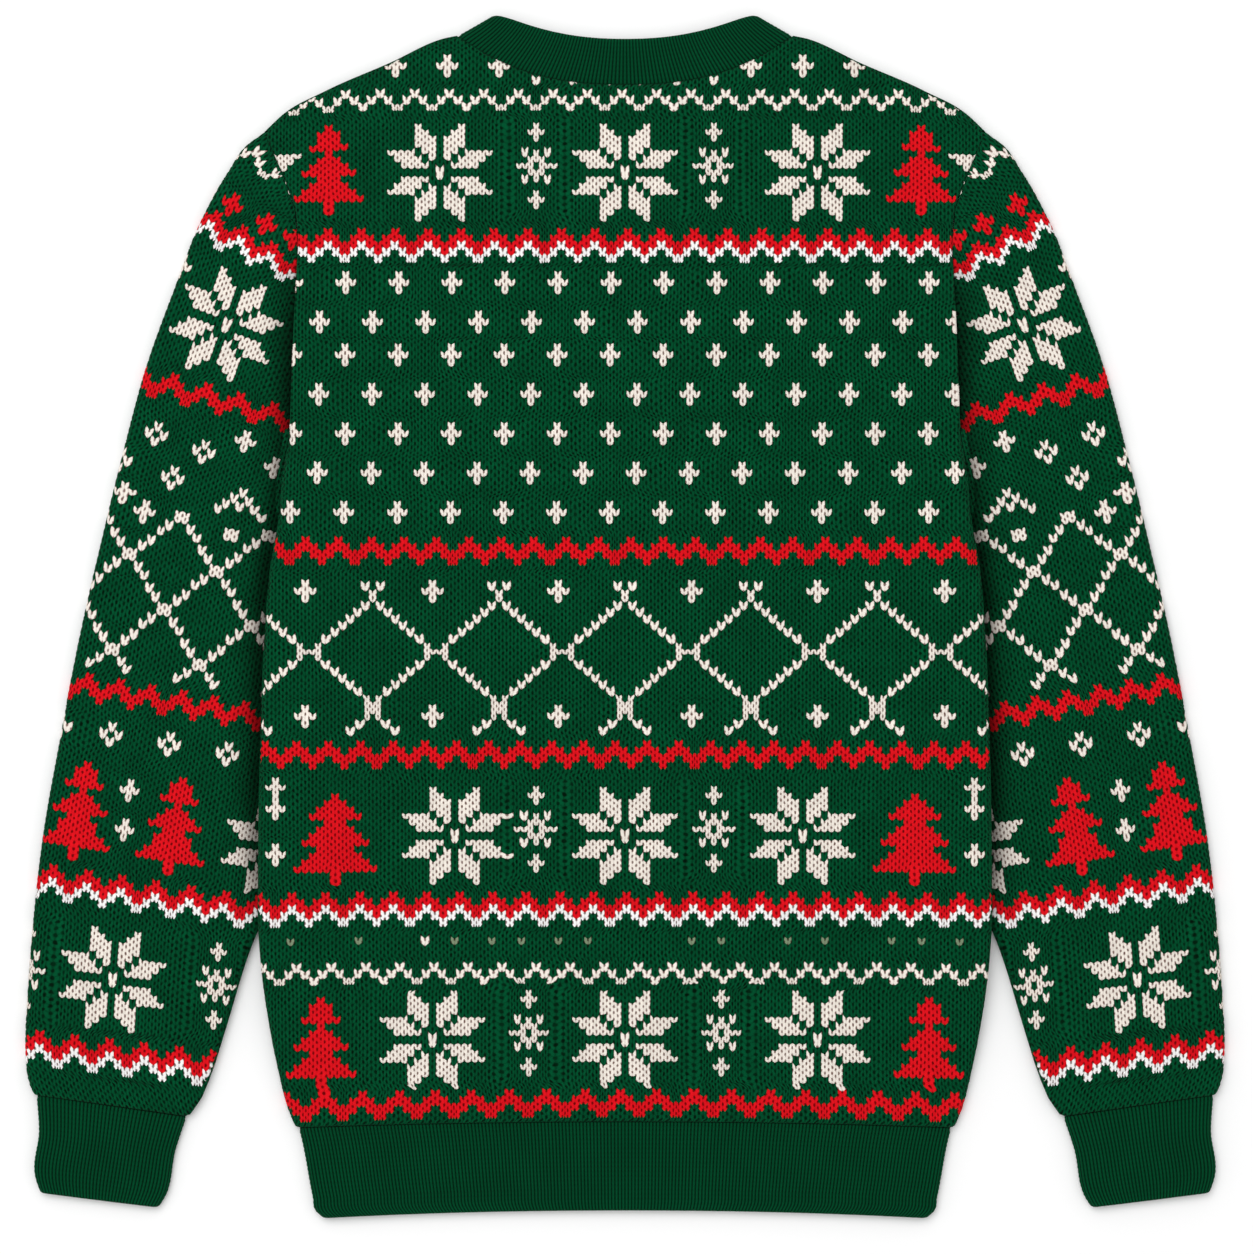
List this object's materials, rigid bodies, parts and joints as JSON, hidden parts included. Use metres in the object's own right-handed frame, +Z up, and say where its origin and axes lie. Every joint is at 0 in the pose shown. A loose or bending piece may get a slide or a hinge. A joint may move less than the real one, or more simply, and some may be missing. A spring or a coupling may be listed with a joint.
{
  "type": "knitted crew-neck sweatshirt laid flat, back upward",
  "caption": "Knitted crew-neck sweatshirt lying flat with its back upward, with ribbed neck, cuffs and hem and a traditional banded winter pattern.",
  "frame": {"origin": "on the surface that the garment lies on, under the middle of its box", "axes": "+X across the chest towards the wearer's right, +Y from the hem to the neck, +Z up from the surface"},
  "size_m": [0.7138, 0.7174, 0.0169],
  "materials": {
    "pattern_knit": "matt wool-like stocking stitch, green ground with white and red motifs",
    "rib_knit": "matt wool-like rib, plain green"
  },
  "bodies": {
    "root": {"back": "pattern_knit", "front": "pattern_knit", "sleeve_left": "pattern_knit", "sleeve_right": "pattern_knit", "cuff_left": "rib_knit", "cuff_right": "rib_knit", "hem_rib": "rib_knit", "neck_rib": "rib_knit"}
  },
  "joints": []
}
